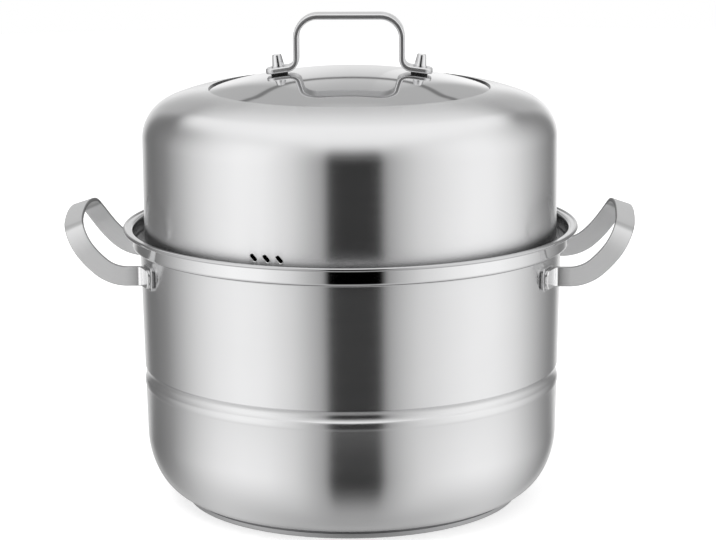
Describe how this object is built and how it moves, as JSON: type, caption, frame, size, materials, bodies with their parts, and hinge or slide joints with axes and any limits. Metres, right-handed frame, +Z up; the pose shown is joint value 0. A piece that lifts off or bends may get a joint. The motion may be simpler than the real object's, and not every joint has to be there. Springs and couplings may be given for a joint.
{
  "type": "steamer pot",
  "caption": "Round stainless steamer pot with a stepped lipped mouth, pressed bead, strap side handles, lift-out perforated tray and a tall domed lid with steam slots and a strap handle.",
  "frame": {"origin": "on the floor under the middle of the base", "axes": "+Z up along the pot's axis, +X through the right side handle, -Y towards the front, where the steam slots are"},
  "size_m": [0.4056, 0.3266, 0.35],
  "materials": {
    "satin_steel": "satin, brushed round the axis",
    "strap_steel": "fine satin strap with rounded edges",
    "polished_steel": "mirror polished",
    "aluminium_core": "plain rolled",
    "seal_rubber": "white silicone",
    "gasket_rubber": "black silicone"
  },
  "bodies": {
    "pot": {"pot_body": "satin_steel", "base_cap": "satin_steel", "base_core_disc": "aluminium_core", "side_handle_left": "strap_steel", "side_handle_right": "strap_steel", "handle_pads_left": "strap_steel", "handle_pads_right": "strap_steel", "handle_welds_left": "satin_steel", "handle_welds_right": "satin_steel"},
    "lid": {"lid_shell": "satin_steel", "lid_handle": "strap_steel", "lid_spacer_left": "gasket_rubber", "lid_spacer_right": "gasket_rubber", "lid_washer_left": "polished_steel", "lid_washer_right": "polished_steel", "lid_seal_left": "seal_rubber", "lid_seal_right": "seal_rubber", "lid_bolt_left": "polished_steel", "lid_bolt_right": "polished_steel", "lid_nut_left": "polished_steel", "lid_nut_right": "polished_steel"},
    "tray": {"steamer_tray": "satin_steel"}
  },
  "joints": [
    {"name": "lid_lift", "type": "slide", "parent": "pot", "child": "lid", "axis": [0, 0, 1], "range_m": [0, 0.3]},
    {"name": "tray_lift", "type": "slide", "parent": "pot", "child": "tray", "axis": [0, 0, 1], "range_m": [0, 0.15]}
  ],
  "couplings": [
    {"joint": "tray_lift", "follows": "lid_lift", "ratio": 0.5}
  ]
}
